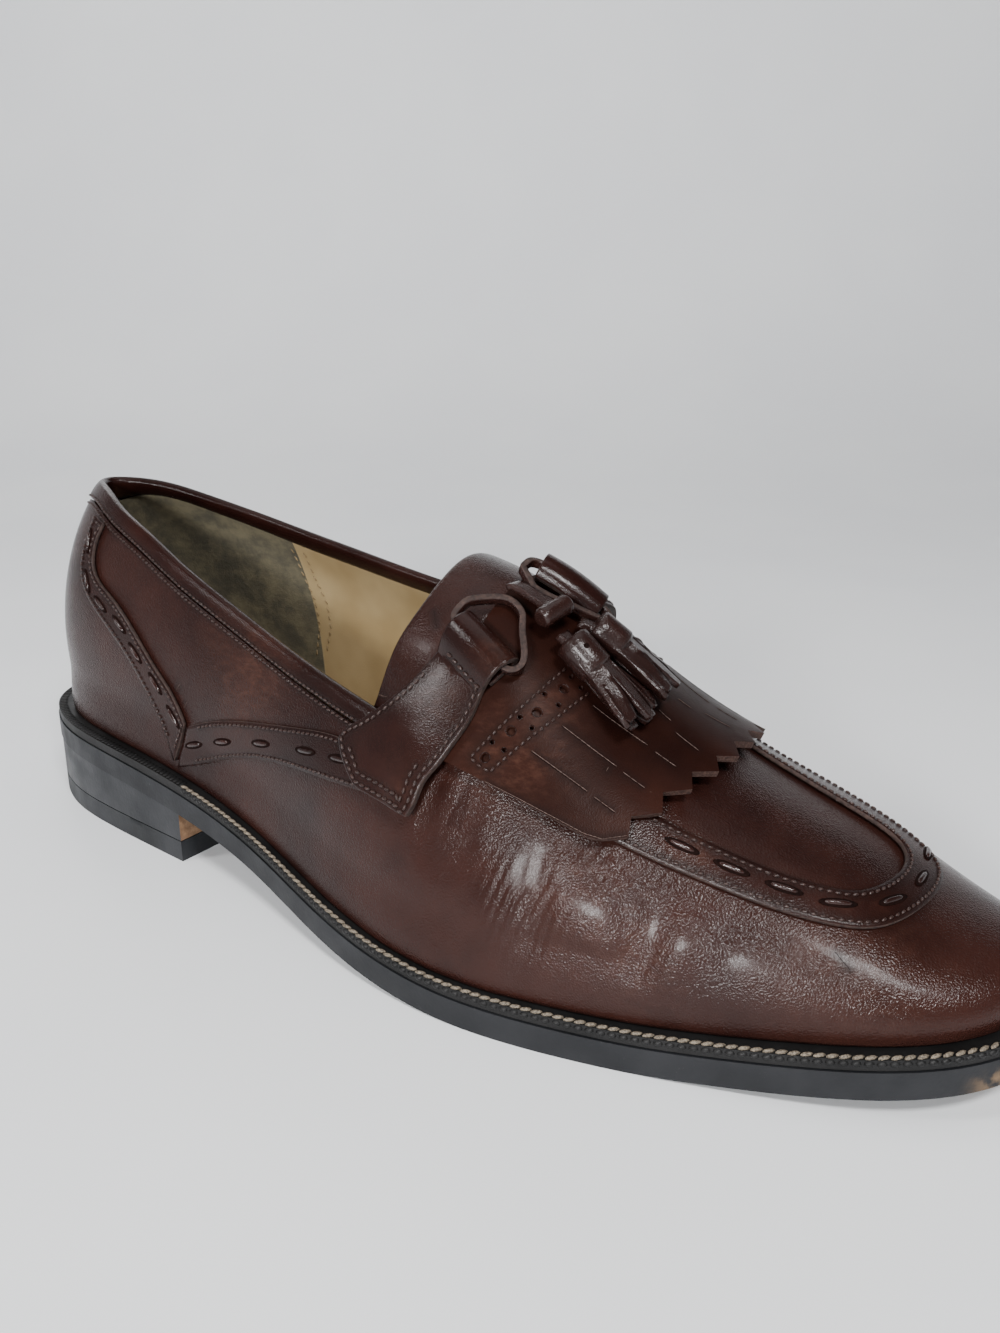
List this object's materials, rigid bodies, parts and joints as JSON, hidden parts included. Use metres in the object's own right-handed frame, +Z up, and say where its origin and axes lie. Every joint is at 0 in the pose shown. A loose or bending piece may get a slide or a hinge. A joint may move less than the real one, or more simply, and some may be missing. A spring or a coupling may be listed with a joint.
{
  "type": "kiltie loafer",
  "caption": "Burgundy leather kiltie loafer, right shoe, with a fringed flap over the vamp, saddle straps, a small thong bow, tassels and a black sole with a low heel.",
  "frame": {"origin": "centre of the bounding box at its bottom, on the plane that the shoe stands on", "axes": "+X towards the toe, +Y towards the inner side of the foot, +Z up; right-handed, metres"},
  "size_m": [0.3014, 0.1114, 0.0963],
  "materials": {
    "upper_leather": "polished burgundy-brown leather with a fine grain",
    "trim_leather": "polished burgundy-brown leather trim",
    "thong_leather": "satin burgundy-brown leather, edges left raw",
    "lining_tan": "matte beige lining leather",
    "sole_black": "satin near-black edge finish",
    "lift_black": "matte black rubber"
  },
  "bodies": {
    "root": {"outsole": "sole_black", "heel_stack": "sole_black", "heel_top_lift": "lift_black", "welt": "sole_black", "insole": "lining_tan", "upper": "upper_leather", "collar_binding": "trim_leather", "tongue": "upper_leather", "back_band_outer": "trim_leather", "back_band_inner": "trim_leather", "wing_band_outer": "trim_leather", "wing_band_inner": "trim_leather", "apron_band": "trim_leather", "kiltie": "upper_leather", "strap_outer": "upper_leather", "strap_inner": "upper_leather", "bow_loop_outer": "thong_leather", "bow_loop_inner": "thong_leather", "bow_knot": "thong_leather", "tassel_outer": "thong_leather", "tassel_inner": "thong_leather"}
  },
  "joints": []
}
